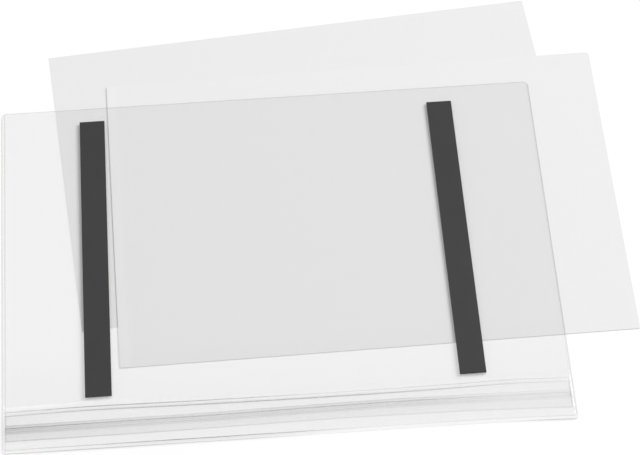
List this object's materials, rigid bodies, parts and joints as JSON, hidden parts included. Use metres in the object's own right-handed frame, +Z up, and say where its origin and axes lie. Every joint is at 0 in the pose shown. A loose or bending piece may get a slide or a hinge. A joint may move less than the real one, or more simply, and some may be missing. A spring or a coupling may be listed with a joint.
{
  "type": "magnetic document pocket",
  "caption": "Clear A4 landscape document pocket with a press closure and magnetic strips on its back, lying back side up on its loose insert sheets.",
  "frame": {"origin": "middle of the footprint, on the table under the lower insert sheet", "axes": "+X along the pocket's long side, +Y away from the press closure, +Z up out of the pocket's back"},
  "size_m": [0.3632, 0.3136, 0.0024],
  "materials": {
    "clear_film": "clear pressed film",
    "closure_plastic": "clear extruded",
    "magnet": "matt",
    "adhesive_tape": "matt",
    "paper": "smooth uncoated"
  },
  "bodies": {
    "root": {"front_film": "clear_film", "back_film": "clear_film", "closure_rib_strip": "closure_plastic", "closure_groove_strip": "closure_plastic", "magnetic_strip_left": "magnet", "magnetic_strip_right": "magnet", "adhesive_tape_left": "adhesive_tape", "adhesive_tape_right": "adhesive_tape", "insert_sheet_square": "paper", "insert_sheet_round": "paper"}
  },
  "joints": []
}
